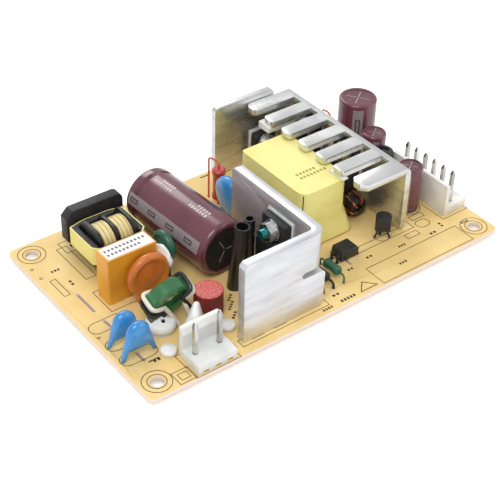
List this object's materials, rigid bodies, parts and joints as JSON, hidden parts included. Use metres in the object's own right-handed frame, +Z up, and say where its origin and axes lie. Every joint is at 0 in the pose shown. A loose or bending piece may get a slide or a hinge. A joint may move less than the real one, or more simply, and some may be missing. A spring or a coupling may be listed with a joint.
{
  "type": "open frame power supply",
  "caption": "Open frame AC-DC power supply: a bare circuit board carrying mains filter, transformer, folded heatsinks, capacitors and two pin headers.",
  "frame": {"origin": "centre of the four mounting holes, on the board's underside", "axes": "+X along the board's length from the mains header to the output header, +Y across the board towards the line choke's edge, +Z up out of the component side"},
  "size_m": [0.127, 0.0766, 0.0292],
  "materials": {
    "laminate": "glass-epoxy board, yellow-tan solder mask with black print",
    "solder": "bright tin solder",
    "nylon": "natural white nylon, slightly translucent",
    "tin_plate": "tin-plated wire",
    "fuse_case": "matte dark red",
    "blue_coating": "glossy sky-blue epoxy dip",
    "film_case": "yellow-orange moulded box",
    "label_film": "white film label",
    "orange_coating": "orange-brown epoxy dip",
    "green_coating": "dark green epoxy dip",
    "green_ring": "green epoxy-coated ferrite",
    "white_insulation": "white insulated wire",
    "black_insulation": "black insulated wire",
    "ferrite": "dark grey sintered ferrite",
    "yellow_tape": "pale yellow polyester tape",
    "bobbin_plastic": "black moulded bobbin",
    "cream_wire": "pale insulated winding",
    "black_epoxy": "black moulding compound",
    "rubber_seal": "black end disc",
    "maroon_sleeve": "maroon shrink sleeve with a grey stripe",
    "black_sleeving": "black insulating sleeve",
    "primary_aluminium": "plain satin sheet",
    "secondary_aluminium": "plain satin sheet",
    "white_insulator": "white silicone-film insulator",
    "plated_screw": "blue-green zinc plating",
    "nut_steel": "bright zinc plating",
    "red_coating": "coral red coating",
    "copper_wire": "enamelled copper",
    "silicone": "white silicone adhesive"
  },
  "bodies": {
    "root": {"board": "laminate", "solder_joints": "solder", "ac_header_housing": "nylon", "ac_header_pins": "tin_plate", "fuse": "fuse_case", "y_capacitor_front": "blue_coating", "y_capacitor_rear": "blue_coating", "x_capacitor": "film_case", "x_capacitor_label": "label_film", "varistor": "orange_coating", "inrush_thermistor": "green_coating", "ring_choke_core": "green_ring", "ring_choke_white_wire": "white_insulation", "ring_choke_black_wire": "black_insulation", "line_choke_core": "ferrite", "line_choke_tape": "yellow_tape", "line_choke_bobbin": "bobbin_plastic", "line_choke_windings": "cream_wire", "bridge_rectifier": "black_epoxy", "bulk_capacitor": "rubber_seal", "bulk_capacitor_sleeve": "maroon_sleeve", "bulk_capacitor_leads": "tin_plate", "tall_sleeve": "black_sleeving", "slim_sleeve": "black_sleeving", "sleeved_diodes": "black_epoxy", "primary_heatsink": "primary_aluminium", "switch_transistor": "black_epoxy", "switch_insulator": "white_insulator", "switch_screw": "plated_screw", "switch_nut": "nut_steel", "snubber_resistor": "red_coating", "snubber_capacitor": "blue_coating", "bias_capacitor": "maroon_sleeve", "transformer_tape": "yellow_tape", "transformer_core": "ferrite", "transformer_bobbin": "bobbin_plastic", "transformer_windings": "copper_wire", "secondary_heatsink": "secondary_aluminium", "output_diode_rear": "black_epoxy", "output_diode_front": "black_epoxy", "output_regulator": "black_epoxy", "output_insulators": "white_insulator", "output_screws": "plated_screw", "output_nuts": "nut_steel", "comb_strips": "white_insulator", "output_choke_core": "ferrite", "output_choke_winding": "copper_wire", "output_capacitor_large": "maroon_sleeve", "output_capacitor_medium": "maroon_sleeve", "output_capacitor_end": "maroon_sleeve", "output_drum_choke": "black_sleeving", "output_snubber_resistor": "red_coating", "dc_header_housing": "nylon", "dc_header_pins": "tin_plate", "optocoupler": "black_epoxy", "shunt_reference": "black_epoxy", "feedback_resistor": "green_coating", "small_diodes": "black_epoxy", "silicone_dabs": "silicone", "control_chip": "black_epoxy"}
  },
  "joints": []
}
